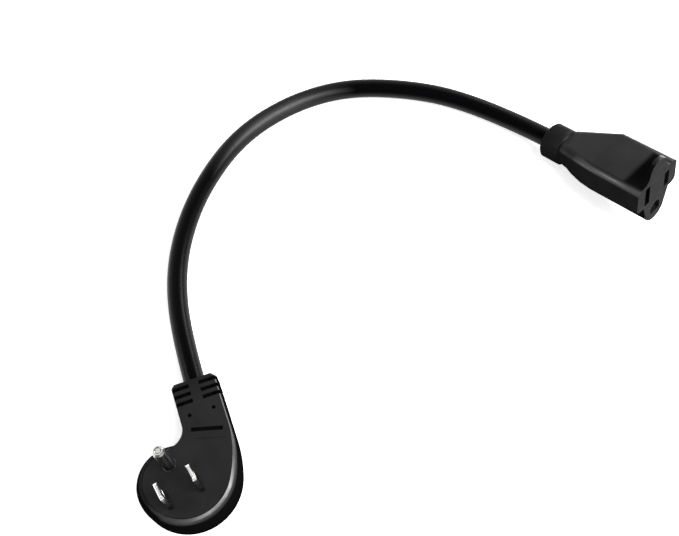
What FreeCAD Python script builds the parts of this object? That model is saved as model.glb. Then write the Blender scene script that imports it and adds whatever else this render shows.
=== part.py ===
"""Short extension lead: a flat low profile plug, a round cord and a socket connector.

Millimetres, +Z up. The plug lies on its flat back with its pins up. The origin is on that back, under
the middle of the two blades, with the hot blade on +X and the earth pin on +Y. The connector rests on its
collar and its earth hump, nose up.
"""
import FreeCAD, Part
import math
import os

V = FreeCAD.Vector
UP = V(0, 0, 1)
SIDES = 8                   # of the cores, the earth sleeve and the locating holes
OVERCUT = 1.0               # how far a cutter stands beyond the piece it cuts

# Plug body: an egg-shaped head, and a neck beside it that carries the cord
PLUG_THICKNESS = 14.0
HEAD_RADIUS = 14.6          # head's tight end
HEAD_CENTRE = (-1.6, 6.0)   # from the middle of the blades
BELLY_RADIUS = 20.1         # head's wide end
BELLY_TURN = 0.0            # way from the tight end to the wide end, degrees from +X
CORD_EXIT = (22.6, 38.6)    # middle of the neck's end
NECK_LEAN = 11.0            # neck's axis from the earth pin's side, degrees
NECK_WIDTH = 18.6
NECK_CORNER = 1.3
VALLEY_RADIUS = 5.0         # hollow between head and neck
FLANK_RADIUS = 51.0         # long curve from head to neck
EDGE_WIDTH = 2.0            # steep lower half of the face's rounded edge, on the head
EDGE_DROP = 4.5
BAND_WIDTH = 1.5            # flatter upper half of it
BAND_DROP = 0.9
NECK_EDGE = 0.5             # both halves' widths along the neck
NECK_BAND = 0.5

# Strain relief grooves and the marks on the plug's face
GROOVES = 3
GROOVE_FIRST = 3.1
GROOVE_PITCH = 3.1
GROOVE_WIDTH = 1.6
GROOVE_DEPTH = 1.6
SPINE_WIDTH = 4.0
FLEX_WALL = 1.5             # wall left round the cord inside a groove
TOOL_HOLE_RADIUS = 0.8
TOOL_HOLE_DEPTH = 1.5
TOOL_HOLE_SPREAD = 9.6
TOOL_HOLE_BACK = 14.7       # from the neck's end
WINDOW_LENGTH = 12.2
WINDOW_WIDTH = 1.6
WINDOW_DEPTH = 1.2
WINDOW_BACK = 22.0
WINDOW_SLANT = -16.0        # degrees from straight across the neck
WITNESS_STEP = 3.9
WITNESS_WIDTH = 0.4
WITNESS_DEPTH = 0.2

# Blades and earth pin
BLADE_SPACING = 12.7
BLADE_WIDTH = 6.35
BLADE_THICKNESS = 1.5
BLADE_REACH = 17.5          # beyond the face
BLADE_TIP_CORNER = 0.9
BLADE_TIP_EDGE = 0.35
BLADE_TIP_SLOPE = 0.9
BLADE_HOLE_RADIUS = 1.6
BLADE_HOLE_FROM_FACE = 11.9
PIN_RADIUS = 2.4
PIN_ROOT_RADIUS = 2.7       # held inside the plug
PIN_ROOT_PROUD = 0.15
PIN_REACH = 20.8
PIN_OFFSET = 11.9           # from the blade line
PIN_TIP_CHAMFER = 0.7
PIN_DIMPLE_RADIUS = 1.3
PIN_DIMPLE_DEPTH = 0.45
ROOT_RECESS_MARGIN = 0.5
ROOT_RECESS_DEPTH = 0.35

# Inner moulding of the plug, and the tails under it that the cores are welded to
CARRIER_WIDTH = 20.0
CARRIER_LOW_Y = -6.0
CARRIER_HIGH_Y = 16.4
CARRIER_CORNER = 4.5
CARRIER_THICKNESS = 4.0
CARRIER_COVER = 2.2         # skin over it at the face
TAIL_HEIGHT = 5.4           # middle of the tails above the back
TAIL_THICKNESS = 1.2
TAIL_WIDTH = 3.2
TAIL_LENGTH = 8.0

# Cord, and the three cores inside it
CORD_RADIUS = 4.25
CORD_IN_PLUG = 14.0
CORD_FIRST_REACH = 12.0     # straight out of the neck, to the route's first corner
CORD_IN_CONNECTOR = 11.5
CORE_RADIUS = 1.2           # to its corners
CORE_SPREAD = 1.9           # core middles from the cord's axis
ARC_SHARE = 0.45            # share of the shorter run that a bend takes up
CORD_ROUTE = [
    (34.0, 80.5, 5.0),
    (48.5, 103.5, CORD_RADIUS),
    (69.0, 122.3, CORD_RADIUS),
    (95.0, 136.3, CORD_RADIUS),
    (124.0, 139.5, CORD_RADIUS),
    (150.0, 133.8, CORD_RADIUS),
    (173.0, 118.8, CORD_RADIUS),
    (191.0, 101.0, CORD_RADIUS),
]

# Connector body, from its face back to its collar
FACE_X = 224.0              # middle of the slots, on the face
FACE_Y = 7.2
CONNECTOR_TURN = -77.0      # way the face looks, seen from above, degrees from +X
CONNECTOR_PITCH = 15.0      # nose up, degrees
STRAIGHT_LENGTH = 25.3
TAPER_LENGTH = 19.6
COLLAR_LENGTH = 10.6
COLLAR_RADIUS = 8.1
END_RADIUS = 7.3            # where the taper meets the collar
COLLAR_BEVEL = 1.0
CORD_DROP = 5.0             # cord's axis below the middle of the slots
BAR_WIDTH = 25.4            # across both lobes
BAR_TOP = 7.2
BAR_BOTTOM = 6.2
BAR_ROUND = 3.0
LOBE_ROUND = 2.4            # under the lobes
HUMP_WIDTH = 16.6           # where the earth hump leaves the lobes
HUMP_RADIUS = 6.0
HUMP_BOTTOM = 19.4
HUMP_HOLD = 0.22            # share of the taper over which the hump keeps its depth
END_ROUND = 4.0             # the same sizes where the taper ends
END_LOBE_ROUND = 1.0
END_LOBE_DROP = 2.5         # below the cord's axis
END_HUMP_WIDTH = 12.2
END_HUMP_RADIUS = 6.0
TAPER_STATIONS = (0.0, 0.22, 0.48, 0.74, 1.0)
LIP_TOP = 16.0              # finger stop over the slots
LIP_RADIUS = 5.5
LIP_FOOT_RADIUS = 4.0
LIP_FLAT = 2.0
LIP_SCOOP = 10.0
LIP_SINK = 0.25

# Inner moulding of the connector, its openings and its contacts
FACE_WALL = 1.6             # moulding in front of the contact block
SIDE_WALL = 1.5
TOP_WALL = 1.6
LOW_WALL = 1.1
HUMP_WALL = 1.6
INSERT_DEPTH = 24.5
INSERT_ROUND = 2.0
FRONT_WALL = 3.2
SLOT_WIDTH = 3.1
HOT_SLOT_HEIGHT = 8.6
NEUTRAL_SLOT_HEIGHT = 10.2
EARTH_HOLE_RADIUS = 3.0
EARTH_WALL = 5.2
CLIP_STRIP = 0.6
CLIP_HEIGHT = 6.4
CLIP_HALF_MOUTH = 1.8
CLIP_HALF_THROAT = 0.75
CLIP_HALF_BACK = 2.1
CLIP_LEAD = 1.0             # clip's mouth behind the front wall
CLIP_THROAT = 4.0
CLIP_SHOULDER = 8.5
CLIP_LENGTH = 15.0
CLIP_CLEARANCE = 0.15
SLEEVE_BORE = 2.6           # to its corners
SLEEVE_WALL = 0.7
SLEEVE_LENGTH = 13.0
SLEEVE_SPLIT = 1.0

# Worked out from the sizes above
half_neck = NECK_WIDTH / 2
cord_height = PLUG_THICKNESS / 2
blade_root = TAIL_HEIGHT - TAIL_THICKNESS / 2
carrier_top = PLUG_THICKNESS - CARRIER_COVER
carrier_bottom = carrier_top - CARRIER_THICKNESS
lean = math.radians(NECK_LEAN)
pitch = math.radians(CONNECTOR_PITCH)
collar_end = -(STRAIGHT_LENGTH + TAPER_LENGTH + COLLAR_LENGTH)
taper_end = -(STRAIGHT_LENGTH + TAPER_LENGTH)
hump_end = -(STRAIGHT_LENGTH + HUMP_HOLD * TAPER_LENGTH)
front_bar = (BAR_WIDTH / 2, BAR_TOP, -BAR_BOTTOM, BAR_ROUND, LOBE_ROUND)
front_hump = (HUMP_WIDTH / 2, HUMP_RADIUS, -HUMP_BOTTOM)
clip_back = -(FRONT_WALL + CLIP_LEAD + CLIP_LENGTH)
sleeve_back = -(EARTH_WALL + CLIP_CLEARANCE + SLEEVE_LENGTH)


def neck_point(across, along, z=0.0):
    """Point in the plug's frame, from the neck's end: across to its right, along out with the cord."""
    x = CORD_EXIT[0] + across * math.cos(lean) + along * math.sin(lean)
    y = CORD_EXIT[1] - across * math.sin(lean) + along * math.cos(lean)
    return V(x, y, z)


def from_neck(point):
    """How far across and along a point lies from the neck's end."""
    dx = point.x - CORD_EXIT[0]
    dy = point.y - CORD_EXIT[1]
    return dx * math.cos(lean) - dy * math.sin(lean), dx * math.sin(lean) + dy * math.cos(lean)


def line(a, b):
    return Part.LineSegment(a, b).toShape()


def arc(centre, a, b):
    """Arc about a centre from a to b, the short way round."""
    middle = (a - centre) + (b - centre)
    middle.normalize()
    return Part.Arc(a, centre + middle * (a - centre).Length, b).toShape()


def prism(edges, direction):
    return Part.Face(Part.Wire(edges)).extrude(direction)


def closed(points):
    return [line(a, b) for a, b in zip(points, points[1:] + points[:1])]


def rod(start, end, radius):
    return Part.makeCylinder(radius, (end - start).Length, start, end - start)


def bar(start, end, across, radius):
    """Many-sided bar between two points, with its corners on a radius; one way across it is given."""
    heading = end - start
    rise = across.cross(heading)
    rise.normalize()
    turns = [2 * math.pi * (i + 0.5) / SIDES for i in range(SIDES)]
    ring = [start + (across * math.cos(t) + rise * math.sin(t)) * radius for t in turns]
    return prism(closed(ring), heading)


def core(start, end):
    """Insulated core between two points."""
    across = (end - start).cross(UP)
    across.normalize()
    return bar(start, end, across, CORE_RADIUS)


def groove(a, b, width, low, high):
    """Square-ended bar from a to b, between two heights."""
    side = (b - a).cross(UP)
    side.normalize()
    side = side * (width / 2)
    cut = prism(closed([a + side, b + side, b - side, a - side]), V(0, 0, high - low))
    cut.translate(V(0, 0, low))
    return cut


def comma_outline(z, head_inset, neck_inset):
    """Plug's outline at a height: egg-shaped head, hollow valley, straight neck and long flank, all tangent.

    The insets draw the head and the neck in from the widest outline.
    """
    head_radius = HEAD_RADIUS - head_inset
    belly_radius = BELLY_RADIUS - head_inset
    flank_radius = FLANK_RADIUS - head_inset
    valley_radius = VALLEY_RADIUS + head_inset
    half = half_neck - neck_inset
    top = -neck_inset
    head = V(HEAD_CENTRE[0], HEAD_CENTRE[1], z)
    towards = math.radians(BELLY_TURN)
    egg = V(math.cos(towards), math.sin(towards), 0)
    belly = head + egg * (belly_radius - head_radius)
    egg_foot = head - egg * head_radius

    belly_across, belly_along = from_neck(belly)
    flank_across = half - flank_radius
    flank_gap = flank_radius - belly_radius
    flank_along = belly_along + math.sqrt(flank_gap ** 2 - (flank_across - belly_across) ** 2)
    flank = neck_point(flank_across, flank_along, z)
    flank_foot = belly + (belly - flank) * (belly_radius / flank_gap)

    head_across, head_along = from_neck(head)
    valley_across = -half - valley_radius
    valley_gap = head_radius + valley_radius
    valley_along = head_along + math.sqrt(valley_gap ** 2 - (valley_across - head_across) ** 2)
    valley = neck_point(valley_across, valley_along, z)
    valley_foot = head + (valley - head) * (head_radius / valley_gap)

    inner = half - NECK_CORNER
    corner = top - NECK_CORNER
    right_top = neck_point(half, corner, z)
    left_top = neck_point(-half, corner, z)
    flank_top = neck_point(half, flank_along, z)
    valley_top = neck_point(-half, valley_along, z)
    left_end = neck_point(-inner, top, z)
    right_end = neck_point(inner, top, z)
    return [
        line(left_end, right_end),
        line(right_end, right_top),
        line(right_top, flank_top),
        arc(flank, flank_top, flank_foot),
        arc(belly, flank_foot, egg_foot),
        arc(head, egg_foot, valley_foot),
        arc(valley, valley_foot, valley_top),
        line(valley_top, left_top),
        line(left_top, left_end),
    ]


def plug_body():
    """Comma-shaped slab; the edge of its face has two slopes, wide on the head and narrow on the neck."""
    knee = PLUG_THICKNESS - BAND_DROP
    shoulder = knee - EDGE_DROP
    slab = prism(comma_outline(0.0, 0.0, 0.0), V(0, 0, shoulder))
    slopes = [
        comma_outline(shoulder, 0.0, 0.0),
        comma_outline(knee, EDGE_WIDTH, NECK_EDGE),
        comma_outline(PLUG_THICKNESS, EDGE_WIDTH + BAND_WIDTH, NECK_EDGE + NECK_BAND),
    ]
    edge = Part.makeLoft([Part.Wire(outline) for outline in slopes], True, True)
    return slab.fuse(edge).removeSplitter()


def strain_relief_cuts():
    """Grooves round both sides of the neck, stopping at a spine on the face and on the back."""
    cuts = []
    outside = half_neck + GROOVE_WIDTH
    flex = CORD_RADIUS + FLEX_WALL
    for step in range(GROOVES):
        along = -(GROOVE_FIRST + step * GROOVE_PITCH)
        for side in (-1, 1):
            inner = neck_point(side * SPINE_WIDTH / 2, along)
            wall = neck_point(side * flex, along)
            outer = neck_point(side * outside, along)
            top = PLUG_THICKNESS - GROOVE_DEPTH
            cuts.append(groove(inner, outer, GROOVE_WIDTH, top, PLUG_THICKNESS + OVERCUT))
            cuts.append(groove(inner, outer, GROOVE_WIDTH, -OVERCUT, GROOVE_DEPTH))
            cuts.append(groove(wall, outer, GROOVE_WIDTH, -OVERCUT, PLUG_THICKNESS + OVERCUT))
    return cuts


def face_marks():
    """Tool marks on the neck: two locating holes, a slanted window and a witness line beside it."""
    cuts = []
    for side in (-1, 1):
        base = neck_point(side * TOOL_HOLE_SPREAD / 2, -TOOL_HOLE_BACK, PLUG_THICKNESS - TOOL_HOLE_DEPTH)
        cuts.append(bar(base, base + UP * (TOOL_HOLE_DEPTH + OVERCUT), V(1, 0, 0), TOOL_HOLE_RADIUS))
    slant = math.radians(WINDOW_SLANT)
    half = WINDOW_LENGTH / 2
    across = half * math.cos(slant)
    rise = half * math.sin(slant)
    for back, width, depth in (
        (WINDOW_BACK, WINDOW_WIDTH, WINDOW_DEPTH),
        (WINDOW_BACK + WITNESS_STEP, WITNESS_WIDTH, WITNESS_DEPTH),
    ):
        a = neck_point(-across, -back - rise)
        b = neck_point(across, -back + rise)
        cuts.append(groove(a, b, width, PLUG_THICKNESS - depth, PLUG_THICKNESS + OVERCUT))
    return cuts


def root_recesses():
    """Shallow seats in the face round the blades."""
    cuts = []
    low = PLUG_THICKNESS - ROOT_RECESS_DEPTH
    half_x = BLADE_THICKNESS / 2 + ROOT_RECESS_MARGIN
    half_y = BLADE_WIDTH / 2 + ROOT_RECESS_MARGIN
    for side in (-1, 1):
        corner = V(side * BLADE_SPACING / 2 - half_x, -half_y, low)
        cuts.append(Part.makeBox(2 * half_x, 2 * half_y, ROOT_RECESS_DEPTH + OVERCUT, corner))
    return cuts


def weld_tail(root, heading):
    """Flat strip from a root point along a heading, and the middle of its end, where a core is welded on."""
    across = heading.cross(UP)
    across.normalize()
    thick = across.cross(heading)
    side = across * (TAIL_WIDTH / 2)
    rise = thick * (TAIL_THICKNESS / 2)
    corners = [root - side - rise, root + side - rise, root + side + rise, root - side + rise]
    return prism(closed(corners), heading * TAIL_LENGTH), root + heading * TAIL_LENGTH


def blade(x, heading):
    """Blade stamped in one piece with its tail; its tip has cut corners and thinned edges."""
    tip = PLUG_THICKNESS + BLADE_REACH
    half_w = BLADE_WIDTH / 2
    half_t = BLADE_THICKNESS / 2
    side = [
        V(0, -half_w, blade_root), V(0, half_w, blade_root),
        V(0, half_w, tip - BLADE_TIP_CORNER), V(0, half_w - BLADE_TIP_CORNER, tip),
        V(0, -half_w + BLADE_TIP_CORNER, tip), V(0, -half_w, tip - BLADE_TIP_CORNER),
    ]
    edge = [
        V(-half_t, 0, blade_root), V(half_t, 0, blade_root),
        V(half_t, 0, tip - BLADE_TIP_SLOPE), V(half_t - BLADE_TIP_EDGE, 0, tip),
        V(-half_t + BLADE_TIP_EDGE, 0, tip), V(-half_t, 0, tip - BLADE_TIP_SLOPE),
    ]
    flat = prism(closed(side), V(BLADE_THICKNESS, 0, 0))
    flat.translate(V(-half_t, 0, 0))
    thin = prism(closed(edge), V(0, BLADE_WIDTH, 0))
    thin.translate(V(0, -half_w, 0))
    hole_z = PLUG_THICKNESS + BLADE_HOLE_FROM_FACE
    hole = rod(V(-BLADE_WIDTH, 0, hole_z), V(BLADE_WIDTH, 0, hole_z), BLADE_HOLE_RADIUS)
    plate = flat.common(thin).cut(hole)
    plate.translate(V(x, 0, 0))
    tail, weld = weld_tail(V(x, 0, TAIL_HEIGHT), heading)
    return plate.fuse(tail).removeSplitter(), weld


def earth_pin(heading):
    """Turned pin with a chamfered, dimpled tip, on a wider root with a flat tail."""
    tip = PLUG_THICKNESS + PIN_REACH
    seat = PLUG_THICKNESS + PIN_ROOT_PROUD
    profile = [
        V(0, 0, blade_root), V(PIN_ROOT_RADIUS, 0, blade_root),
        V(PIN_ROOT_RADIUS, 0, seat), V(PIN_RADIUS, 0, seat),
        V(PIN_RADIUS, 0, tip - PIN_TIP_CHAMFER), V(PIN_RADIUS - PIN_TIP_CHAMFER, 0, tip),
        V(PIN_DIMPLE_RADIUS, 0, tip), V(PIN_DIMPLE_RADIUS - PIN_DIMPLE_DEPTH, 0, tip - PIN_DIMPLE_DEPTH),
        V(0, 0, tip - PIN_DIMPLE_DEPTH),
    ]
    pin = Part.Face(Part.Wire(closed(profile))).revolve(V(0, 0, 0), UP, 360)
    pin.translate(V(0, PIN_OFFSET, 0))
    tail, weld = weld_tail(V(0, PIN_OFFSET, TAIL_HEIGHT), heading)
    return pin.fuse(tail).removeSplitter(), weld


def blade_carrier():
    """Inner moulding that holds the blades and the pin at their spacing."""
    half = CARRIER_WIDTH / 2
    inner = half - CARRIER_CORNER
    low = CARRIER_LOW_Y + CARRIER_CORNER
    high = CARRIER_HIGH_Y - CARRIER_CORNER
    outline = [
        (-inner, CARRIER_LOW_Y), (inner, CARRIER_LOW_Y), (half, low), (half, high),
        (inner, CARRIER_HIGH_Y), (-inner, CARRIER_HIGH_Y), (-half, high), (-half, low),
    ]
    return prism(closed([V(x, y, carrier_bottom) for x, y in outline]), V(0, 0, CARRIER_THICKNESS))


def core_ends(cord_end, across, into):
    """Where the three cores leave the cord: two beside each other and one below, a little inside."""
    side = across * (CORE_SPREAD * math.cos(math.pi / 6))
    rise = UP * (CORE_SPREAD / 2)
    middle = cord_end + into * CORE_RADIUS
    return {
        "hot": middle + side + rise,
        "ground": middle - side + rise,
        "neutral": middle - UP * CORE_SPREAD,
    }


def less(solid, others):
    """A solid with its neighbours' space taken out, as one plain solid."""
    cut = solid.cut(others).removeSplitter()
    return cut.Solids[0] if len(cut.Solids) == 1 else cut


def plug():
    """All the plug's pieces in the plug's own frame, blades along X and the earth pin on +Y."""
    along = neck_point(0, 1) - neck_point(0, 0)
    across = neck_point(1, 0) - neck_point(0, 0)
    cord_end = neck_point(0, -CORD_IN_PLUG, cord_height)
    cord_stub = rod(cord_end, neck_point(0, OVERCUT, cord_height), CORD_RADIUS)
    ends = core_ends(cord_end, across, along)

    roots = {
        "hot": V(BLADE_SPACING / 2, 0, 0),
        "neutral": V(-BLADE_SPACING / 2, 0, 0),
        "ground": V(0, PIN_OFFSET, 0),
    }
    metal = {}
    leads = {}
    for pole, root in roots.items():
        heading = V(ends[pole].x - root.x, ends[pole].y - root.y, 0)
        heading.normalize()
        if pole == "ground":
            metal[pole], weld = earth_pin(heading)
        else:
            metal[pole], weld = blade(root.x, heading)
        leads[pole] = less(core(weld, ends[pole]), [metal[pole], cord_stub])

    terminals = list(metal.values())
    carrier = less(blade_carrier(), terminals)
    cuts = strain_relief_cuts() + face_marks() + root_recesses()
    shell = plug_body().cut(cuts)
    shell = less(shell, [blade_carrier(), cord_stub] + terminals + list(leads.values()))
    return {
        "plug_overmould": shell,
        "blade_carrier": carrier,
        "hot_blade": metal["hot"],
        "neutral_blade": metal["neutral"],
        "ground_pin": metal["ground"],
        "plug_hot_lead": leads["hot"],
        "plug_neutral_lead": leads["neutral"],
        "plug_ground_lead": leads["ground"],
    }


def body_section(x, lobes, hump):
    """Outline across the connector at a station: two rounded lobes, and below them a hump that narrows.

    The lobes are their half width, top, bottom, upper and lower corners; the hump its half width, radius and
    bottom. The hump's sides run from under the lobes to meet its round bottom tangent.
    """
    half, top, low, corner, lobe = lobes
    hump_half, hump_radius, hump_low = hump
    inner = half - corner
    under = half - lobe
    high = top - corner
    rise = low + lobe
    hump_z = hump_low + hump_radius
    foot = V(0, hump_half, low - hump_z)
    turn = math.atan2(foot.z, foot.y) - math.acos(hump_radius / foot.Length)
    side = hump_radius * math.cos(turn)
    meet = hump_z + hump_radius * math.sin(turn)
    return Part.Wire([
        line(V(x, -inner, top), V(x, inner, top)),
        arc(V(x, inner, high), V(x, inner, top), V(x, half, high)),
        line(V(x, half, high), V(x, half, rise)),
        arc(V(x, under, rise), V(x, half, rise), V(x, under, low)),
        line(V(x, under, low), V(x, hump_half, low)),
        line(V(x, hump_half, low), V(x, side, meet)),
        Part.Arc(V(x, side, meet), V(x, 0, hump_low), V(x, -side, meet)).toShape(),
        line(V(x, -side, meet), V(x, -hump_half, low)),
        line(V(x, -hump_half, low), V(x, -under, low)),
        arc(V(x, -under, rise), V(x, -under, low), V(x, -half, rise)),
        line(V(x, -half, rise), V(x, -half, high)),
        arc(V(x, -inner, high), V(x, -half, high), V(x, -inner, top)),
    ])


def eased(start, end, share):
    """Value between two, with a level start."""
    return start + (end - start) * share ** 2


def taper_section(share):
    """Outline at a share of the taper: the lobes draw straight in, and the hump eases in a little later."""
    late = max(0.0, (share - HUMP_HOLD) / (1.0 - HUMP_HOLD))
    end = END_RADIUS
    bar_end = (end, end - CORD_DROP, -CORD_DROP - END_LOBE_DROP, END_ROUND, END_LOBE_ROUND)
    lobes = [a + (b - a) * share for a, b in zip(front_bar, bar_end)]
    hump_end_sizes = (END_HUMP_RADIUS, -CORD_DROP - end)
    hump = [eased(a, b, late) for a, b in zip(front_hump[1:], hump_end_sizes)]
    half = front_hump[0] + (END_HUMP_WIDTH / 2 - front_hump[0]) * share
    return body_section(-STRAIGHT_LENGTH - share * TAPER_LENGTH, lobes, [half] + hump)


def connector_body():
    """Moulded body: two lobes and an earth hump run straight from the face, then ease into a collar."""
    front = body_section(0, front_bar, front_hump)
    straight = Part.Face(front).extrude(V(-STRAIGHT_LENGTH, 0, 0))
    taper = Part.makeLoft([taper_section(share) for share in TAPER_STATIONS], True, True)
    ring = rod(V(taper_end, 0, -CORD_DROP), V(collar_end, 0, -CORD_DROP), COLLAR_RADIUS)
    ring = ring.makeChamfer(COLLAR_BEVEL, [e for e in ring.Edges if e.Length > COLLAR_RADIUS * 6])
    return straight.fuse([taper, ring]).removeSplitter()


def finger_lip():
    """Stop over the slots: a bell across the face, cut behind by a round scoop."""
    foot = BAR_TOP - LIP_SINK
    top_centre = V(0, 0, LIP_TOP - LIP_RADIUS)
    foot_high = foot + LIP_FOOT_RADIUS
    reach = LIP_RADIUS + LIP_FOOT_RADIUS
    spread = math.sqrt(reach ** 2 - (foot_high - top_centre.z) ** 2)
    left = V(0, -spread, foot_high)
    right = V(0, spread, foot_high)
    left_turn = top_centre + (left - top_centre) * (LIP_RADIUS / reach)
    right_turn = top_centre + (right - top_centre) * (LIP_RADIUS / reach)
    left_foot = V(0, -spread, foot)
    right_foot = V(0, spread, foot)
    base = V(0, 0, -LIP_SINK)
    bell = prism([
        arc(left, left_foot, left_turn),
        Part.Arc(left_turn, V(0, 0, LIP_TOP), right_turn).toShape(),
        arc(right, right_turn, right_foot),
        line(right_foot, right_foot + base),
        line(right_foot + base, left_foot + base),
        line(left_foot + base, left_foot),
    ], V(-LIP_SCOOP, 0, 0))

    run = LIP_SCOOP - LIP_FLAT
    rise = LIP_TOP - foot
    scoop_radius = (run ** 2 + rise ** 2) / (2 * rise)
    scoop = V(-LIP_SCOOP, -BAR_WIDTH / 2, foot + scoop_radius)
    scoop_start = V(-LIP_SCOOP, -BAR_WIDTH / 2, foot)
    scoop_end = V(-LIP_FLAT, -BAR_WIDTH / 2, LIP_TOP)
    front_top = V(0, -BAR_WIDTH / 2, LIP_TOP)
    front_low = V(0, -BAR_WIDTH / 2, foot - LIP_SINK)
    back_low = V(-LIP_SCOOP, -BAR_WIDTH / 2, foot - LIP_SINK)
    side = prism([
        arc(scoop, scoop_start, scoop_end),
        line(scoop_end, front_top),
        line(front_top, front_low),
        line(front_low, back_low),
        line(back_low, scoop_start),
    ], V(0, BAR_WIDTH, 0))
    return bell.common(side)


def contact_insert():
    """Block that holds the contacts, inside even walls of the moulding."""
    lobes = (
        BAR_WIDTH / 2 - SIDE_WALL, BAR_TOP - TOP_WALL, -BAR_BOTTOM + LOW_WALL, INSERT_ROUND, INSERT_ROUND)
    hump = (HUMP_WIDTH / 2 - HUMP_WALL, HUMP_RADIUS - HUMP_WALL, -HUMP_BOTTOM + HUMP_WALL)
    return Part.Face(body_section(-FACE_WALL, lobes, hump)).extrude(V(FACE_WALL - INSERT_DEPTH, 0, 0))


def blade_opening(y, height):
    """Slot through the front wall, and the contact's pocket behind it."""
    half_y = SLOT_WIDTH / 2
    half_z = height / 2
    low = V(-FRONT_WALL - OVERCUT, y - half_y, -half_z)
    through = Part.makeBox(FRONT_WALL + 2 * OVERCUT, SLOT_WIDTH, height, low)
    pocket_y = CLIP_HALF_BACK + CLIP_STRIP / 2 + CLIP_CLEARANCE
    pocket_z = CLIP_HEIGHT / 2 + CLIP_CLEARANCE
    length = INSERT_DEPTH - FRONT_WALL
    corner = V(-INSERT_DEPTH - OVERCUT, y - pocket_y, -pocket_z)
    pocket = Part.makeBox(length + OVERCUT, 2 * pocket_y, 2 * pocket_z, corner)
    return [through], pocket


def earth_opening():
    """Arched hole through the front wall, round side towards the slots, and the sleeve's pocket."""
    r = EARTH_HOLE_RADIUS
    x = OVERCUT
    z = -PIN_OFFSET
    arch = prism([
        Part.Arc(V(x, -r, z), V(x, 0, z + r), V(x, r, z)).toShape(),
        line(V(x, r, z), V(x, r, z - r)),
        line(V(x, r, z - r), V(x, -r, z - r)),
        line(V(x, -r, z - r), V(x, -r, z)),
    ], V(-EARTH_WALL - 2 * OVERCUT, 0, 0))
    pocket = SLEEVE_BORE + SLEEVE_WALL + CLIP_CLEARANCE
    back = V(-INSERT_DEPTH - OVERCUT, 0, z)
    return [arch], bar(back, V(-EARTH_WALL, 0, z), V(0, 1, 0), pocket)


def spring_clip(y):
    """Strip folded to a U whose leaves close to a throat and flare again, with a flat tail behind."""
    front = -(FRONT_WALL + CLIP_LEAD)
    leaf = [
        (front, CLIP_HALF_MOUTH),
        (front - CLIP_THROAT, CLIP_HALF_THROAT),
        (front - CLIP_SHOULDER, CLIP_HALF_BACK),
        (clip_back, CLIP_HALF_BACK),
    ]
    step = CLIP_STRIP / 2
    low = -CLIP_HEIGHT / 2
    outer = [(x, half + step) for x, half in leaf]
    inner = [(x, half - step) for x, half in leaf[:-1]] + [(clip_back + CLIP_STRIP, CLIP_HALF_BACK - step)]
    points = [V(x, y + half, low) for x, half in outer]
    points += [V(x, y - half, low) for x, half in reversed(outer)]
    points += [V(x, y - half, low) for x, half in inner]
    points += [V(x, y + half, low) for x, half in reversed(inner)]
    clip = prism(closed(points), V(0, 0, CLIP_HEIGHT))
    tail, weld = weld_tail(V(clip_back, y, 0), V(-1, 0, 0))
    return clip.fuse(tail).removeSplitter(), weld


def spring_sleeve():
    """Split sleeve for another plug's earth pin, closed behind, with a flat tail."""
    z = -PIN_OFFSET
    front = V(-(EARTH_WALL + CLIP_CLEARANCE), 0, z)
    back = V(sleeve_back, 0, z)
    floor = V(sleeve_back + SLEEVE_WALL, 0, z)
    level = V(0, 1, 0)
    sleeve = bar(front, back, level, SLEEVE_BORE + SLEEVE_WALL).cut(bar(front, floor, level, SLEEVE_BORE))
    split_length = SLEEVE_LENGTH - 3 * SLEEVE_WALL
    corner = V(front.x - split_length, -SLEEVE_SPLIT / 2, z)
    sleeve = sleeve.cut(Part.makeBox(split_length, SLEEVE_SPLIT, SLEEVE_BORE + 2 * SLEEVE_WALL, corner))
    tail, weld = weld_tail(back, V(-1, 0, 0))
    return sleeve.fuse(tail).removeSplitter(), weld


def placed(shape):
    """A connector's shape or point, taken from its own frame to where the connector rests."""
    tilt = FreeCAD.Rotation(V(0, 1, 0), -CONNECTOR_PITCH)
    turn = FreeCAD.Rotation(UP, CONNECTOR_TURN)
    on_hump = -hump_end * math.sin(pitch) + HUMP_BOTTOM * math.cos(pitch)
    low = COLLAR_RADIUS + CORD_DROP
    on_collar = -(collar_end + COLLAR_BEVEL) * math.sin(pitch) + low * math.cos(pitch)
    place = FreeCAD.Placement(V(FACE_X, FACE_Y, max(on_hump, on_collar)), turn.multiply(tilt))
    if isinstance(shape, FreeCAD.Vector):
        return place.multVec(shape)
    return shape.transformed(place.toMatrix())


def connector():
    """All the connector's pieces in its own frame: face at the origin looking along +X, slots level."""
    cord_end = V(collar_end + CORD_IN_CONNECTOR, 0, -CORD_DROP)
    cord_stub = rod(V(collar_end - OVERCUT, 0, -CORD_DROP), cord_end, CORD_RADIUS)
    ends = core_ends(cord_end, V(0, 1, 0), V(-1, 0, 0))
    metal = {}
    welds = {}
    metal["hot"], welds["hot"] = spring_clip(BLADE_SPACING / 2)
    metal["neutral"], welds["neutral"] = spring_clip(-BLADE_SPACING / 2)
    metal["ground"], welds["ground"] = spring_sleeve()
    ends["ground"], ends["neutral"] = ends["neutral"], ends["ground"]
    leads = {}
    for pole, weld in welds.items():
        leads[pole] = less(core(weld, ends[pole]), [metal[pole], cord_stub])

    mouths = []
    pockets = []
    for mouth, pocket in (
        blade_opening(BLADE_SPACING / 2, HOT_SLOT_HEIGHT),
        blade_opening(-BLADE_SPACING / 2, NEUTRAL_SLOT_HEIGHT),
        earth_opening(),
    ):
        mouths += mouth
        pockets.append(pocket)
    body = connector_body().fuse(finger_lip()).removeSplitter()
    body = body.cut(mouths)
    body = less(body, [contact_insert(), cord_stub] + list(metal.values()) + list(leads.values()))
    return {
        "connector_overmould": body,
        "contact_carrier": less(contact_insert(), mouths + pockets),
        "hot_contact": metal["hot"],
        "neutral_contact": metal["neutral"],
        "ground_contact": metal["ground"],
        "connector_hot_lead": leads["hot"],
        "connector_neutral_lead": leads["neutral"],
        "connector_ground_lead": leads["ground"],
    }


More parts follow.
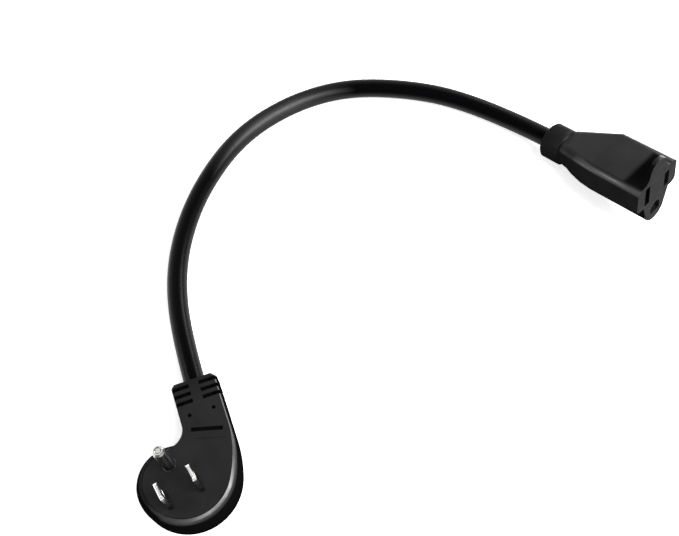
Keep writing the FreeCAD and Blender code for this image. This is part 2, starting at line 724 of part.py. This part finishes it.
def cord_points():
    """Route of the cord from inside the plug's neck to inside the connector's collar.

    The last corner is where the connector's axis comes down to the height of the lying cord.
    """
    start = neck_point(0, -CORD_IN_PLUG, cord_height)
    first = neck_point(0, CORD_FIRST_REACH, cord_height)
    collar = placed(V(collar_end, 0, -CORD_DROP))
    end = placed(V(collar_end + CORD_IN_CONNECTOR, 0, -CORD_DROP))
    back = collar - end
    back.normalize()
    last = collar + back * ((collar.z - CORD_RADIUS) / math.sin(pitch))
    return [start, first] + [V(*p) for p in CORD_ROUTE] + [last, end]


def cord():
    """Round tube along straight runs joined by tangent arcs, each as wide as its two runs allow."""
    points = cord_points()
    edges = []
    radii = []
    at = points[0]
    for before, corner, after in zip(points, points[1:], points[2:]):
        back = before - corner
        ahead = after - corner
        reach = ARC_SHARE * min(back.Length, ahead.Length)
        turn = math.pi - back.getAngle(ahead)
        back.normalize()
        ahead.normalize()
        bisector = back + ahead
        bisector.normalize()
        radius = reach / math.tan(turn / 2)
        radii.append(round(radius, 1))
        entry = corner + back * reach
        leave = corner + ahead * reach
        through = corner + bisector * (radius / math.cos(turn / 2) - radius)
        edges += [line(at, entry), Part.Arc(entry, through, leave).toShape()]
        at = leave
    edges.append(line(at, points[-1]))
    path = Part.Wire(edges)
    heading = points[1] - points[0]
    section = Part.Wire([Part.Circle(points[0], heading, CORD_RADIUS).toShape()])
    tube = path.makePipeShell([section], True, False)
    plain = math.pi * CORD_RADIUS ** 2 * path.Length
    print("cord bend radii", radii)
    print("cord length", round(path.Length, 1))
    print("cord volume", round(tube.Volume, 1), "section by length", round(plain, 1))
    return tube


def main():
    os.makedirs("parts", exist_ok=True)
    nodes = plug()
    nodes["cord"] = cord()
    for name, shape in connector().items():
        nodes[name] = placed(shape)
    for name, shape in nodes.items():
        print(name, "solids", len(shape.Solids), "valid", shape.isValid(), "volume", round(shape.Volume, 1))
        shape.exportStep("parts/" + name + ".step")


main()
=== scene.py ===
import math

import bpy
import numpy as np
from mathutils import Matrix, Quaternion, Vector


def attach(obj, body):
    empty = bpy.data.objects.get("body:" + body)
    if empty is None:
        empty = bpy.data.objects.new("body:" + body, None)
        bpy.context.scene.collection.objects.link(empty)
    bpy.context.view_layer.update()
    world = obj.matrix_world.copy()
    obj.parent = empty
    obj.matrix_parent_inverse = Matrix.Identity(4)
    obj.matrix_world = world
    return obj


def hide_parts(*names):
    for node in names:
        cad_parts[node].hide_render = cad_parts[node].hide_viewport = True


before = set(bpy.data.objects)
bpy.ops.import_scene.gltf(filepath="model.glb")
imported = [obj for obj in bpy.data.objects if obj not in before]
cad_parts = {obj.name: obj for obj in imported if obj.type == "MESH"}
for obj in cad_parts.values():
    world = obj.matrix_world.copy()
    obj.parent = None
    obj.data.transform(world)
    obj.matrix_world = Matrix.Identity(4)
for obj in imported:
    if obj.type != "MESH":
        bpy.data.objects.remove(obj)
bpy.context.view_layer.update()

bl_info = {
    "name": "Flat Plug Lead",
    "version": (1, 0, 0),
    "blender": (4, 5, 0),
    "location": "View3D > Sidebar > Lead",
    "description": "Cord, finishes and studio for a short extension lead with a flat plug",
    "category": "Object",
}

# The cord's route, from inside the plug's neck to inside the connector's collar, in metres.
CORD_ROUTE = (
    (0.019929, 0.024857, 0.0070),
    (0.024890, 0.050380, 0.0070),
    (0.0340, 0.0805, 0.0050),
    (0.0485, 0.1035, 0.00425),
    (0.0690, 0.1223, 0.00425),
    (0.0950, 0.1363, 0.00425),
    (0.1240, 0.1395, 0.00425),
    (0.1500, 0.1338, 0.00425),
    (0.1730, 0.1188, 0.00425),
    (0.1910, 0.1010, 0.00425),
    (0.209449, 0.070229, 0.00425),
    (0.214731, 0.047351, 0.010542),
)

# Ways in which surfaces look, and where the plug's face and the connector's face and middle lie along them.
UP = (0.0, 0.0, 1.0)
PLUG_FACE = 0.0140
PLUG_OUTER = (0.78, -0.62, 0.0)
NECK_WAY = (0.0, 1.0, 0.0)
CONNECTOR_TOP = (-0.0582, 0.2522, 0.9659)
CONNECTOR_AXIS = (0.2173, -0.9412, 0.2588)
CONNECTOR_FACE = 0.0488
CONNECTOR_SIDE = (0.9744, 0.2250, 0.0)
CONNECTOR_MIDDLE = 0.2199

# Where the sheen on the cord's bend rises and falls, and the way and heights of the painted shade at the tips
# and roots of metal pieces.
BEND_WAY = (1.0, 0.0, 0.0)
BEND_RISE = (0.072, 0.102)
BEND_FALL = (0.152, 0.122)
TIP_SHADE_WAY = (0.25, -0.97, 0.0)
TIP_SHADE_HEIGHT = (0.0322, 0.0330)
PIN_ROOT_SHADE = (PLUG_FACE, PLUG_FACE + 0.012)
# A span below everything, so that no root gets painted shade.
NO_ROOT_SHADE = (-0.001, 0.0)

# Gloss of each part of the mouldings and the jacket, set by place and facing to follow the photographed light.
PLUG_GLOSS = {"face": 0.11, "neck": 0.04, "band": 0.90, "inner band": 0.02, "fade": 0.24}
CONNECTOR_GLOSS = {"top": 0.095, "edge": 0.60, "taper edge": 0.08, "face": 0.007}
COLLAR_SHARE = 0.1
PLAIN_GLOSS = 0.2
JACKET_GLOSS = {"rim": 0.11, "bend": 0.45, "bend's sides": 0.03}
BEND_DULLING = 0.20

INNER_COLOUR = (0.03, 0.03, 0.03)
CORE_COLOURS = {"hot": (0.02, 0.02, 0.02), "neutral": (0.80, 0.80, 0.78), "ground": (0.05, 0.32, 0.11)}
PAPER_COLOURS = ((0.86, 0.86, 0.86), (0.90, 0.90, 0.90))
PAPER_GLOW = 0.50
FLOOR_REACH = 4.0
FLOOR_POINTS = 9
SENSOR = 36.0
SHARP_EDGE = math.radians(28.0)
PIN_EDGE_SHARE = 0.6
BLOCK_EDGE_SHARE = 0.5
WELD_REACH = 1e-6

# Sockets of a colour mix node: share, both colours and the result.
MIX_SHARE, MIX_LOW, MIX_HIGH, MIX_RESULT = 0, 6, 7, 2

# Lamps: name, place, point lit, and width and height, in metres.
LAMPS = (
    ("key", (0.31, -0.28, 0.65), (0.11, 0.12, 0.0), (0.4, 0.4)),
    ("side", (0.69, 0.25, 0.375), (0.02, 0.01, 0.01), (0.35, 0.2)),
    ("corner", (0.55, -0.33, 0.51), (0.02, 0.0, 0.01), (0.35, 0.2)),
    ("front", (-0.05, -0.57, 0.54), (0.0, 0.0, 0.01), (0.25, 0.2)),
    ("strip", (-0.45, 0.29, 0.40), (0.22, 0.03, 0.03), (0.30, 0.12)),
)


def length(name, description, default):
    """A size in metres that a user may change."""
    return bpy.props.FloatProperty(
        name=name, description=description, default=default, unit="LENGTH", precision=5)


def power(name, description, default):
    """A lamp's power in watts."""
    return bpy.props.FloatProperty(
        name=name, description=description, default=default, min=0.0, unit="POWER")


def amount(name, description, default):
    """A plain number from nought to one."""
    return bpy.props.FloatProperty(name=name, description=description, default=default, min=0.0, max=1.0)


def angle(name, description, degrees):
    """An angle, given in degrees."""
    return bpy.props.FloatProperty(
        name=name, description=description, default=math.radians(degrees), subtype="ANGLE")


def colour(name, description, default):
    """A linear colour."""
    return bpy.props.FloatVectorProperty(
        name=name, description=description, default=default, subtype="COLOR", size=3, min=0.0, max=1.0)


class LeadCordSettings(bpy.types.PropertyGroup):
    """Sizes and finish of the cord."""

    diameter: length("Diameter", "Outside of the jacket", 0.0085)
    run: length("Length", "From end to end, the ends inside the mouldings included", 0.3091)
    jacket: colour("Jacket", "Colour of the jacket", (0.0015, 0.0015, 0.0017))
    roughness: amount("Roughness", "Jacket's roughness before its variation", 0.28)
    die_lines: amount("Die lines", "Strength of the fine lines along the jacket", 0.10)


class LeadFinishSettings(bpy.types.PropertyGroup):
    """Colours and grain of the mouldings and the metal."""

    plug_vinyl: colour("Plug", "Colour of the plug's moulding", (0.0075, 0.0075, 0.0080))
    plug_roughness: amount("Plug's roughness", "Before its variation", 0.36)
    connector_vinyl: colour("Connector", "Colour of the connector's moulding", (0.0072, 0.0072, 0.0076))
    connector_roughness: amount("Connector's roughness", "Before its variation", 0.34)
    contact_block: colour("Contact block", "Colour of the block behind the slots", (0.0130, 0.0130, 0.0135))
    inner_roughness: amount("Inner roughness", "Of the mouldings inside, before its variation", 0.50)
    nickel: colour("Nickel", "Colour of the plating on the pins", (0.64, 0.635, 0.62))
    nickel_roughness: amount("Nickel's roughness", "Before its variation", 0.12)
    brass: colour("Brass", "Colour of the spring contacts", (0.70, 0.48, 0.20))
    brass_roughness: amount("Brass's roughness", "Before its variation", 0.30)
    grain: length("Grain", "Size of the moulded grain", 0.00022)
    edge_round: length("Edge round", "Softening of the moulded edges", 0.00022)


class LeadStageSettings(bpy.types.PropertyGroup):
    """Camera and light."""

    target: bpy.props.FloatVectorProperty(
        name="Target", description="Point that the camera looks at", default=(0.09967, 0.05536, 0.0),
        subtype="TRANSLATION", unit="LENGTH", size=3)
    distance: length("Distance", "From the camera to its target", 0.3814)
    azimuth: angle("Azimuth", "Camera's way round from -Y", -27.78)
    elevation: angle("Elevation", "Camera's height above the horizon", 63.62)
    roll: angle("Roll", "Camera's turn about its line of sight", -3.32)
    field: angle("Field of view", "Across the width of the picture", 42.0)
    key: power("Key lamp", "Panel over the cord's bend", 5.5)
    side: power("Side lamp", "Panel beside the plug", 3.3)
    corner: power("Corner lamp", "Panel between the side and the front", 3.3)
    front: power("Front lamp", "Panel before the plug", 1.8)
    strip: power("Strip", "Far strip beside the connector", 1.6)
    sky: amount("Sky", "Level of the even light all round", 0.42)


def seen_rays(tree):
    """Socket that gives one for rays from the camera, from mirror-like surfaces and through glass."""
    rays = tree.nodes.new("ShaderNodeLightPath")
    seen = rays.outputs["Is Camera Ray"]
    for kind in ("Is Glossy Ray", "Is Transmission Ray"):
        either = tree.nodes.new("ShaderNodeMath")
        either.operation = "MAXIMUM"
        tree.links.new(seen, either.inputs[0])
        tree.links.new(rays.outputs[kind], either.inputs[1])
        seen = either.outputs[0]
    return seen


class Finish:
    """A material under construction: makes nodes, sets their sockets and links them."""

    def __init__(self, name):
        self.material = bpy.data.materials.new(name)
        self.material.use_nodes = True
        self.tree = self.material.node_tree
        self.shader = self.tree.nodes["Principled BSDF"]
        self.place = self.node("ShaderNodeTexCoord")

    def node(self, kind, **values):
        """A new node with its attributes set."""
        made = self.tree.nodes.new(kind)
        for name, value in values.items():
            setattr(made, name, value)
        return made

    def feed(self, node, sockets):
        """Sets or links a node's sockets, given by name or number."""
        for name, value in sockets.items():
            if isinstance(value, bpy.types.NodeSocket):
                self.tree.links.new(value, node.inputs[name])
            else:
                node.inputs[name].default_value = value
        return node

    def noise(self, scale, detail=3.0, stretch=None, source="Object"):
        """Noise in a piece's own coordinates, with the scale in periods a metre."""
        vector = self.place.outputs[source]
        if stretch is not None:
            mapping = self.feed(self.node("ShaderNodeMapping"), {"Vector": vector, "Scale": stretch})
            vector = mapping.outputs["Vector"]
        made = self.feed(self.node("ShaderNodeTexNoise"), {"Vector": vector, "Scale": scale, "Detail": detail})
        return made.outputs["Fac"]

    def spread(self, value, low, high, start=0.3, end=0.7):
        """Carries a value from one range onto another, and keeps it there."""
        made = self.node("ShaderNodeMapRange")
        self.feed(made, {"Value": value, "From Min": start, "From Max": end, "To Min": low, "To Max": high})
        return made.outputs["Result"]

    def share(self, source, way, start, end):
        """Share from nought to one along a way, of a texture coordinate."""
        made = self.node("ShaderNodeVectorMath", operation="DOT_PRODUCT")
        self.feed(made, {0: self.place.outputs[source], 1: way})
        return self.spread(made.outputs["Value"], 0.0, 1.0, start, end)

    def facing(self, way, start, end):
        """Share from nought to one by how squarely the surface looks a way."""
        return self.share("Normal", way, start, end)

    def reaching(self, way, start, end):
        """Share from nought to one by how many metres along a way the surface lies."""
        return self.share("Object", way, start, end)

    def between(self, share, low, high):
        """Number between two by a share."""
        return self.spread(share, low, high, 0.0, 1.0)

    def rest(self, share):
        """What a share leaves of one."""
        return self.between(share, 1.0, 0.0)

    def times(self, first, *others):
        """Product of two or more numbers."""
        for other in others:
            made = self.feed(self.node("ShaderNodeMath", operation="MULTIPLY"), {0: first, 1: other})
            first = made.outputs[0]
        return first

    def plus(self, first, second):
        """Sum of two numbers."""
        made = self.feed(self.node("ShaderNodeMath", operation="ADD"), {0: first, 1: second})
        return made.outputs[0]

    def blend(self, share, low, high):
        """Colour between two by a share."""
        made = self.node("ShaderNodeMix", data_type="RGBA")
        self.feed(made, {MIX_SHARE: share, MIX_LOW: (*low, 1.0), MIX_HIGH: (*high, 1.0)})
        return made.outputs[MIX_RESULT]

    def bump(self, height, strength, distance, over=None):
        """Normals raised by a height, over others where given."""
        made = self.node("ShaderNodeBump")
        self.feed(made, {"Height": height, "Strength": strength, "Distance": distance})
        if over is not None:
            self.tree.links.new(over, made.inputs["Normal"])
        return made.outputs["Normal"]


def scaled(rgb, factor):
    """A colour made darker or brighter, one at most."""
    return tuple(min(1.0, c * factor) for c in rgb)


def moulded_vinyl(name, rgb, grain, roughness, region=None):
    """Satin black vinyl: spark-eroded grain, slow swirls of the melt, and a faint paler bloom.

    A region gives its gloss, and the share of the surface that keeps its colour; the rest is darkened with
    painted shade.
    """
    finish = Finish(name)
    bloom = finish.noise(90.0, detail=4.0)
    swirl = finish.noise(260.0, detail=2.0)
    fine = finish.noise(1.0 / grain, detail=2.0)
    dust = finish.noise(2600.0, detail=1.0)
    share, gloss = region(finish) if region else (1.0, PLAIN_GLOSS)
    # Colour: a faint paler bloom at random, and painted shade where the region's share falls to nought.
    lit = finish.times(finish.spread(bloom, 0.5, 1.0), share)
    soft = finish.bump(swirl, 0.10, 0.0004)
    grained = finish.bump(fine, 0.22, 0.00006, over=soft)
    finish.feed(finish.shader, {
        "Base Color": finish.blend(lit, scaled(rgb, 0.35), scaled(rgb, 1.25)),
        "Roughness": finish.spread(swirl, roughness - 0.05, roughness + 0.05),
        "Normal": finish.bump(dust, 0.08, 0.00005, over=grained),
        "Specular IOR Level": gloss,
    })
    return finish.material


def plug_region(finish):
    """Painted shade on the walls and in the hollows, which are matt, a satin face, and between them a band that
    is polished on the outer side.

    The band starts a little below the face, and fades down the steep edge under it.
    """
    # Surfaces more than a millimetre below the face, on the walls and in the hollows, get painted shade in their
    # colour.
    unshaded_share = finish.reaching(UP, PLUG_FACE - 0.0011, PLUG_FACE - 0.0008)
    outer = finish.facing(PLUG_OUTER, -0.35, 0.25)
    slope = finish.facing(UP, 0.40, 0.62)
    below = finish.reaching(UP, PLUG_FACE - 0.00016, PLUG_FACE - 0.00026)
    band = finish.times(slope, below, finish.between(outer, PLUG_GLOSS["inner band"], PLUG_GLOSS["band"]))
    face = finish.facing(UP, 0.90, 0.97)
    neck = finish.reaching(NECK_WAY, 0.029, 0.037)
    satin = finish.times(face, finish.between(neck, PLUG_GLOSS["face"], PLUG_GLOSS["neck"]))
    gloss = finish.plus(finish.times(band, finish.rest(face)), satin)
    steep = finish.times(finish.facing(UP, 0.16, 0.40), finish.facing(UP, 0.60, 0.50))
    upper = finish.reaching(UP, PLUG_FACE - 0.0028, PLUG_FACE - 0.0008)
    fade = finish.times(steep, upper, outer, PLUG_GLOSS["fade"])
    return unshaded_share, finish.plus(finish.times(gloss, unshaded_share), fade)


def connector_region(finish):
    """Painted shade in the scoop behind the finger stop, matt sides and collar, a satin top and face, and
    polished edges.
    """

    def back(start, end):
        """Share by how many metres behind the face the surface lies."""
        return finish.reaching(CONNECTOR_AXIS, CONNECTOR_FACE - start, CONNECTOR_FACE - end)

    def aside(start, end):
        """Share by how many metres to the side of the middle the surface lies."""
        return finish.reaching(CONNECTOR_SIDE, CONNECTOR_MIDDLE + start, CONNECTOR_MIDDLE + end)

    stop = back(0.0016, 0.0028)
    flank = finish.times(aside(-0.0010, -0.0030), finish.facing(CONNECTOR_AXIS, 0.60, 0.30))
    within = finish.plus(stop, finish.times(flank, finish.rest(stop)))
    # The scoop gets painted shade in its colour, through the share left clear of it, and loses its gloss.
    scoop = finish.times(back(0.0100, 0.0080), within, aside(-0.0112, -0.0100), aside(0.0100, 0.0086))
    clear = finish.rest(scoop)
    flat = finish.facing(CONNECTOR_TOP, 0.80, 0.95)
    edge = finish.times(finish.facing(CONNECTOR_TOP, 0.25, 0.55), finish.rest(flat))
    level = finish.between(back(0.036, 0.026), CONNECTOR_GLOSS["taper edge"], CONNECTOR_GLOSS["edge"])
    upper = finish.plus(finish.times(edge, level), finish.times(flat, CONNECTOR_GLOSS["top"]))
    kept = finish.times(upper, clear, finish.between(back(0.048, 0.042), COLLAR_SHARE, 1.0))
    face = finish.facing(CONNECTOR_AXIS, 0.85, 0.97)
    return clear, finish.plus(kept, finish.times(face, CONNECTOR_GLOSS["face"]))


def cord_jacket(rgb, roughness, die_lines):
    """Smooth jacket: fine lines drawn along it by the die, a slow ripple over the cores, and handling marks.

    It shines most towards its outline, and more broadly over the top of its bend.
    """
    finish = Finish("cord_jacket")
    lines = finish.noise(1.0, detail=2.0, stretch=(3.0, 90.0, 1.0), source="UV")
    ripple = finish.noise(160.0, detail=2.0)
    marks = finish.noise(900.0, detail=3.0)
    bend = finish.times(finish.reaching(BEND_WAY, *BEND_RISE), finish.reaching(BEND_WAY, *BEND_FALL))
    plain = finish.spread(marks, roughness - 0.04, roughness + 0.05)
    drawn = finish.bump(lines, die_lines, 0.0001)
    turned = finish.node("ShaderNodeLayerWeight").outputs["Facing"]
    inside = finish.spread(turned, 0.0, JACKET_GLOSS["rim"], 0.08, 0.33)
    rim = finish.times(inside, finish.spread(turned, 1.0, 0.15, 0.38, 0.85))
    sheen = finish.spread(turned, JACKET_GLOSS["bend"], JACKET_GLOSS["bend's sides"], 0.03, 0.34)
    finish.feed(finish.shader, {
        "Base Color": finish.blend(finish.spread(marks, 0.0, 1.0), scaled(rgb, 0.9), scaled(rgb, 1.2)),
        "Roughness": finish.plus(plain, finish.times(bend, BEND_DULLING)),
        "Normal": finish.bump(ripple, 0.10, 0.0006, over=drawn),
        "Specular IOR Level": finish.plus(rim, finish.times(bend, sheen)),
    })
    return finish.material


def plated_metal(name, rgb, roughness, stretch, root):
    """Plated metal: fine polishing lines, cloudy gloss, and painted shade at the root and in a band at the tip.
    """
    finish = Finish(name)
    lines = finish.noise(1.0, detail=3.0, stretch=stretch)
    cloud = finish.noise(420.0, detail=3.0)
    # Painted shade: the colour falls to a tenth near the root and in a band on one side of the tip.
    band = finish.times(finish.facing(TIP_SHADE_WAY, 0.22, 0.36), finish.facing(TIP_SHADE_WAY, 0.80, 0.62))
    tip = finish.times(band, finish.reaching(UP, *TIP_SHADE_HEIGHT))
    unshaded_metal = finish.times(finish.reaching(UP, *root), finish.between(tip, 1.0, 0.1))
    finish.feed(finish.shader, {
        "Base Color": finish.blend(unshaded_metal, scaled(rgb, 0.10), rgb),
        "Roughness": finish.spread(cloud, roughness - 0.03, roughness + 0.05),
        "Normal": finish.bump(lines, 0.02, 0.00002),
        "Metallic": 1.0,
    })
    return finish.material


def core_insulation(name, rgb):
    """Glossy insulation of a core, with a slight ripple."""
    finish = Finish(name)
    ripple = finish.noise(700.0, detail=2.0)
    tone = finish.blend(finish.spread(ripple, 0.0, 1.0), scaled(rgb, 0.9), rgb)
    finish.feed(finish.shader, {
        "Base Color": tone, "Roughness": 0.35, "Normal": finish.bump(ripple, 0.1, 0.0002)})
    return finish.material


def dress(node, material, edge_round=0.0):
    """Gives a CAD node its finish, with its edges softened where asked."""
    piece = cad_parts[node]
    piece.data.materials.clear()
    piece.data.materials.append(material)
    if edge_round > 0.0:
        weld = piece.modifiers.new("Weld", "WELD")
        weld.merge_threshold = WELD_REACH
        bevel = piece.modifiers.new("Edges", "BEVEL")
        bevel.width = edge_round
        bevel.segments = 2
        bevel.limit_method = "ANGLE"
        bevel.angle_limit = SHARP_EDGE
        bevel.harden_normals = True


def mesh_piece(name, points, faces):
    """A mesh object at the origin from an array of points and an array of quads."""
    mesh = bpy.data.meshes.new(name)
    mesh.from_pydata(points.tolist(), [], faces.tolist())
    mesh.update()
    piece = bpy.data.objects.new(name, mesh)
    bpy.context.scene.collection.objects.link(piece)
    return piece


def grid_faces(rows, columns):
    """Quads of a grid of points, row after row."""
    at = np.arange(rows * columns).reshape(rows, columns)
    return np.stack([at[:-1, :-1], at[:-1, 1:], at[1:, 1:], at[1:, :-1]], axis=-1).reshape(-1, 4)


class LEAD_OT_stage(bpy.types.Operator):
    """Makes the floor, the even sky, the lamps and the camera."""

    bl_idname = "lead.stage"
    bl_label = "Stage"

    def floor(self):
        """A level square: both coordinates run evenly over the grid and the height is nought."""
        side = np.linspace(-FLOOR_REACH, FLOOR_REACH, FLOOR_POINTS)
        across, along = np.meshgrid(side, side)
        points = np.stack([across, along, np.zeros_like(across)], axis=-1).reshape(-1, 3)
        piece = mesh_piece("floor", points, grid_faces(FLOOR_POINTS, FLOOR_POINTS))
        finish = Finish("floor_paper")
        fibre = finish.noise(500.0, detail=3.0)
        tone = finish.blend(finish.spread(fibre, 0.0, 1.0), *PAPER_COLOURS)
        finish.feed(finish.shader, {"Base Color": tone, "Roughness": 0.9, "Specular IOR Level": 0.0})
        glow = finish.node("ShaderNodeEmission")
        finish.feed(glow, {"Strength": finish.times(seen_rays(finish.tree), PAPER_GLOW)})
        total = finish.node("ShaderNodeAddShader")
        finish.feed(total, {0: finish.shader.outputs[0], 1: glow.outputs[0]})
        finish.feed(finish.tree.nodes["Material Output"], {"Surface": total.outputs[0]})
        piece.data.materials.append(finish.material)

    def sky(self, level):
        """An even sky that the camera and mirror-like surfaces see as white."""
        world = bpy.data.worlds.new("sky")
        bpy.context.scene.world = world
        world.use_nodes = True
        tree = world.node_tree
        back = tree.nodes["Background"]
        reach = tree.nodes.new("ShaderNodeMapRange")
        tree.links.new(seen_rays(tree), reach.inputs["Value"])
        reach.inputs["To Min"].default_value = level
        reach.inputs["To Max"].default_value = 1.0
        tree.links.new(reach.outputs["Result"], back.inputs["Strength"])
        back.inputs["Color"].default_value = (1.0, 1.0, 1.0, 1.0)

    def lamp(self, name, place, aim, size, watts):
        """A soft rectangular lamp that looks at a point."""
        data = bpy.data.lights.new(name, "AREA")
        data.shape = "RECTANGLE"
        data.size, data.size_y = size
        data.energy = watts
        piece = bpy.data.objects.new(name, data)
        piece.location = place
        piece.rotation_mode = "QUATERNION"
        piece.rotation_quaternion = (Vector(aim) - Vector(place)).to_track_quat("-Z", "Y")
        bpy.context.scene.collection.objects.link(piece)

    def camera(self, stage):
        """The camera, set round its target and turned about its line of sight."""
        level = math.cos(stage.elevation)
        back = Vector((
            math.sin(stage.azimuth) * level, -math.cos(stage.azimuth) * level, math.sin(stage.elevation)))
        data = bpy.data.cameras.new("camera")
        data.sensor_width = SENSOR
        data.lens = SENSOR / 2.0 / math.tan(stage.field / 2.0)
        data.clip_start, data.clip_end = 0.01, 20.0
        piece = bpy.data.objects.new("camera", data)
        piece.location = Vector(stage.target) + back * stage.distance
        piece.rotation_mode = "QUATERNION"
        piece.rotation_quaternion = (-back).to_track_quat("-Z", "Y") @ Quaternion(UP, stage.roll)
        bpy.context.scene.collection.objects.link(piece)
        bpy.context.scene.camera = piece

    def execute(self, context):
        stage = context.scene.lead_stage
        context.scene.view_settings.view_transform = "Standard"
        self.floor()
        self.sky(stage.sky)
        for name, place, aim, size in LAMPS:
            self.lamp(name, place, aim, size, getattr(stage, name))
        self.camera(stage)
        return {"FINISHED"}


class LEAD_OT_cord(bpy.types.Operator):
    """Makes the cord: one smooth spline through the plug's neck, over the floor and into the collar."""

    bl_idname = "lead.cord"
    bl_label = "Cord"

    def execute(self, context):
        cord = context.scene.lead_cord
        line = bpy.data.curves.new("cord_jacket", "CURVE")
        line.dimensions = "3D"
        line.resolution_u = 16
        line.bevel_depth = cord.diameter / 2.0
        line.bevel_resolution = 10
        line.use_fill_caps = True
        spline = line.splines.new("NURBS")
        spline.points.add(len(CORD_ROUTE) - 1)
        points = np.column_stack([np.array(CORD_ROUTE), np.ones(len(CORD_ROUTE))])
        spline.points.foreach_set("co", points.ravel())
        spline.order_u = 3
        spline.use_endpoint_u = True
        piece = bpy.data.objects.new("cord_jacket", line)
        context.scene.collection.objects.link(piece)
        line.materials.append(cord_jacket(tuple(cord.jacket), cord.roughness, cord.die_lines))
        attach(piece, "root")
        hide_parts("cord")
        return {"FINISHED"}


class LEAD_OT_plug(bpy.types.Operator):
    """Finishes the plug's moulding."""

    bl_idname = "lead.plug"
    bl_label = "Plug"

    def execute(self, context):
        finish = context.scene.lead_finish
        vinyl = moulded_vinyl(
            "plug_vinyl", tuple(finish.plug_vinyl), finish.grain, finish.plug_roughness, plug_region)
        dress("plug_overmould", vinyl, finish.edge_round)
        return {"FINISHED"}


class LEAD_OT_pins(bpy.types.Operator):
    """Finishes the blades and the earth pin."""

    bl_idname = "lead.pins"
    bl_label = "Pins"

    def execute(self, context):
        finish = context.scene.lead_finish
        nickel = plated_metal(
            "nickel_plate", tuple(finish.nickel), finish.nickel_roughness, stretch=(2600.0, 2600.0, 120.0),
            root=PIN_ROOT_SHADE)
        for node in ("hot_blade", "neutral_blade", "ground_pin"):
            dress(node, nickel, finish.edge_round * PIN_EDGE_SHARE)
        return {"FINISHED"}


class LEAD_OT_connector(bpy.types.Operator):
    """Finishes the connector's moulding and the block behind its slots."""

    bl_idname = "lead.connector"
    bl_label = "Connector"

    def execute(self, context):
        finish = context.scene.lead_finish
        vinyl = moulded_vinyl(
            "connector_vinyl", tuple(finish.connector_vinyl), finish.grain, finish.connector_roughness,
            connector_region)
        block = moulded_vinyl(
            "contact_block", tuple(finish.contact_block), finish.grain, finish.inner_roughness)
        dress("connector_overmould", vinyl, finish.edge_round)
        dress("contact_carrier", block, finish.edge_round * BLOCK_EDGE_SHARE)
        return {"FINISHED"}


class LEAD_OT_inside(bpy.types.Operator):
    """Finishes the pieces inside the mouldings: blade carrier, spring contacts and cores."""

    bl_idname = "lead.inside"
    bl_label = "Inside"

    def execute(self, context):
        finish = context.scene.lead_finish
        brass = plated_metal(
            "contact_brass", tuple(finish.brass), finish.brass_roughness, stretch=(150.0, 2400.0, 2400.0),
            root=NO_ROOT_SHADE)
        for node in ("hot_contact", "neutral_contact", "ground_contact"):
            dress(node, brass)
        inner = moulded_vinyl("inner_moulding", INNER_COLOUR, finish.grain, finish.inner_roughness)
        dress("blade_carrier", inner)
        for pole, rgb in CORE_COLOURS.items():
            insulation = core_insulation(pole + "_core", rgb)
            dress("plug_" + pole + "_lead", insulation)
            dress("connector_" + pole + "_lead", insulation)
        return {"FINISHED"}


class LEAD_PT_panel(bpy.types.Panel):
    """Lists the lead's settings and makers."""

    bl_idname = "LEAD_PT_panel"
    bl_label = "Flat Plug Lead"
    bl_space_type = "VIEW_3D"
    bl_region_type = "UI"
    bl_category = "Lead"

    def draw(self, context):
        for group in (context.scene.lead_stage, context.scene.lead_cord, context.scene.lead_finish):
            for name in group.__annotations__:
                self.layout.prop(group, name)
        for maker in MAKERS:
            self.layout.operator(maker.bl_idname)


MAKERS = (LEAD_OT_stage, LEAD_OT_cord, LEAD_OT_plug, LEAD_OT_pins, LEAD_OT_connector, LEAD_OT_inside)
CLASSES = (LeadCordSettings, LeadFinishSettings, LeadStageSettings, *MAKERS, LEAD_PT_panel)


def register():
    for cls in CLASSES:
        bpy.utils.register_class(cls)
    bpy.types.Scene.lead_cord = bpy.props.PointerProperty(type=LeadCordSettings)
    bpy.types.Scene.lead_finish = bpy.props.PointerProperty(type=LeadFinishSettings)
    bpy.types.Scene.lead_stage = bpy.props.PointerProperty(type=LeadStageSettings)


def unregister():
    del bpy.types.Scene.lead_cord, bpy.types.Scene.lead_finish, bpy.types.Scene.lead_stage
    for cls in reversed(CLASSES):
        bpy.utils.unregister_class(cls)


def main():
    register()
    bpy.ops.lead.stage()
    bpy.ops.lead.cord()
    bpy.ops.lead.plug()
    bpy.ops.lead.pins()
    bpy.ops.lead.connector()
    bpy.ops.lead.inside()
    bpy.context.view_layer.update()


if __name__ == "__main__":
    main()
